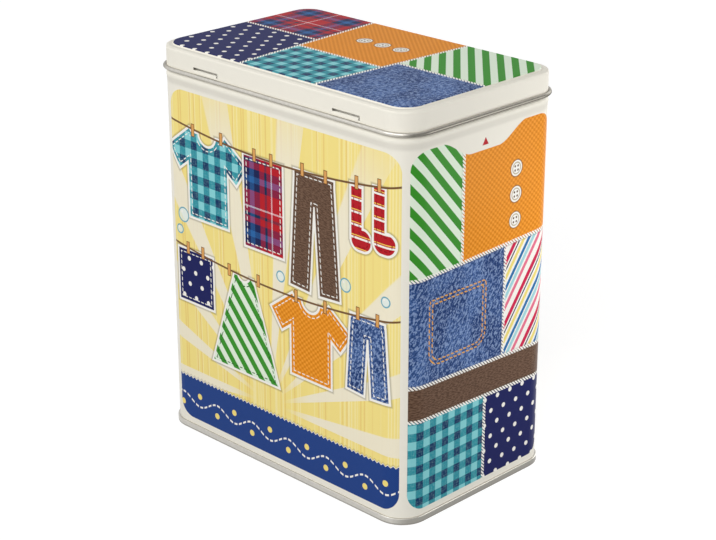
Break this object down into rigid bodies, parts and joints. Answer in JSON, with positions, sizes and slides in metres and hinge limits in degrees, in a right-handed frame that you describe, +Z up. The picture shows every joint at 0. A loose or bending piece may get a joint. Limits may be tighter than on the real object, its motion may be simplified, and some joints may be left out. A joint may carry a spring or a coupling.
{
  "type": "laundry powder tin",
  "caption": "Tall rectangular tinplate storage tin with rounded corners, a double-seamed base and a lift-off lid with a curled edge and lanced catches.",
  "frame": {"origin": "middle of the base, on the surface the tin stands on", "axes": "+Z up, -Y out of the wide front, +X out of the narrow side at its right"},
  "size_m": [0.1694, 0.1054, 0.2],
  "materials": {
    "printed_sleeve": "gloss printed lacquer on tinplate",
    "plain_tinplate": "bare tinplate, satin",
    "printed_lid": "gloss printed lacquer on tinplate"
  },
  "bodies": {
    "can": {"tin_body": "printed_sleeve", "base_panel": "plain_tinplate"},
    "lid": {"lid": "printed_lid"}
  },
  "joints": [
    {"name": "lid_lift", "type": "slide", "parent": "can", "child": "lid", "axis": [0, 0, 1], "range_m": [0, 0.12]}
  ]
}
